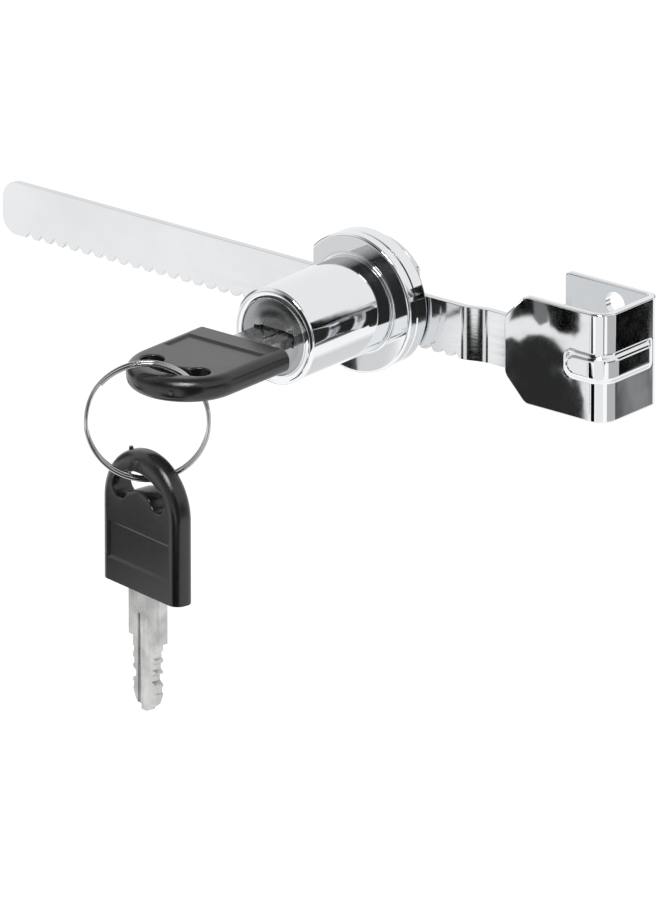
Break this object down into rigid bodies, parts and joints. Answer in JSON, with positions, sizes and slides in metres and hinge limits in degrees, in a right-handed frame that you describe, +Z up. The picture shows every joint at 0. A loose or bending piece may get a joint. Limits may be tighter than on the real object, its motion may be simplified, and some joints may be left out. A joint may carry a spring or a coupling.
{
  "type": "glass cabinet door lock",
  "caption": "Ratchet lock for sliding glass cabinet doors: a round barrel lock on a toothed bar with a bent glass clip, and keys with plastic heads on a split ring.",
  "frame": {"origin": "middle of the inner face of the clip's web, where the edge of the glass rests", "axes": "+X along the bar from its tip toward the clip, +Y from the lock's face to the back, +Z up"},
  "size_m": [0.1444, 0.0868, 0.0767],
  "materials": {
    "bar_plate": "satin",
    "chrome": "polished",
    "steel": "plain",
    "plug_metal": "satin",
    "brass": "plain",
    "key_metal": "satin",
    "black_plastic": "semi-matt",
    "ring_wire": "polished"
  },
  "bodies": {
    "bar": {"ratchet_bar": "bar_plate", "glass_clip": "chrome"},
    "lock": {"lock_body": "chrome", "rear_cover": "bar_plate", "cover_rivets": "steel", "pawl_spring_left": "steel", "pawl_spring_right": "steel"},
    "pawl": {"locking_pawl": "steel"},
    "plug": {"plug": "plug_metal", "plug_clip": "steel", "wafer_1": "brass", "wafer_2": "brass", "wafer_3": "brass", "wafer_4": "brass", "wafer_5": "brass", "wafer_springs": "steel"},
    "key_1": {"key_1_blade": "key_metal", "key_1_head": "black_plastic"},
    "ring": {"key_ring": "ring_wire"},
    "key_2": {"key_2_blade": "key_metal", "key_2_head": "black_plastic"}
  },
  "joints": [
    {"name": "lock_slide", "type": "slide", "parent": "bar", "child": "lock", "axis": [1, 0, 0], "range_m": [-0.066, 0.006]},
    {"name": "plug_turn", "type": "hinge", "parent": "lock", "child": "plug", "pos_m": [-0.0531, -0.02, 0.0024], "axis": [0, 1, 0], "range_deg": [0, 90]},
    {"name": "pawl_lift", "type": "slide", "parent": "lock", "child": "pawl", "axis": [0, 0, 1], "range_m": [0, 0.0013], "deforming": ["pawl_spring_left", "pawl_spring_right"]},
    {"name": "key_pull", "type": "slide", "parent": "plug", "child": "key_1", "axis": [0, -1, 0], "range_m": [0, 0.03]},
    {"name": "ring_turn", "type": "hinge", "parent": "key_1", "child": "ring", "pos_m": [-0.055, -0.0706, -0.00495], "axis": [0.6347, -0.7727, 0], "range_deg": [-20, 20]},
    {"name": "key_swing", "type": "hinge", "parent": "ring", "child": "key_2", "pos_m": [-0.055, -0.0706, -0.0162], "axis": [0.7727, 0.6347, 0], "range_deg": [-20, 20]}
  ],
  "couplings": [
    {"joint": "pawl_lift", "follows": "plug_turn", "m_per_rad": 0.00081028}
  ]
}
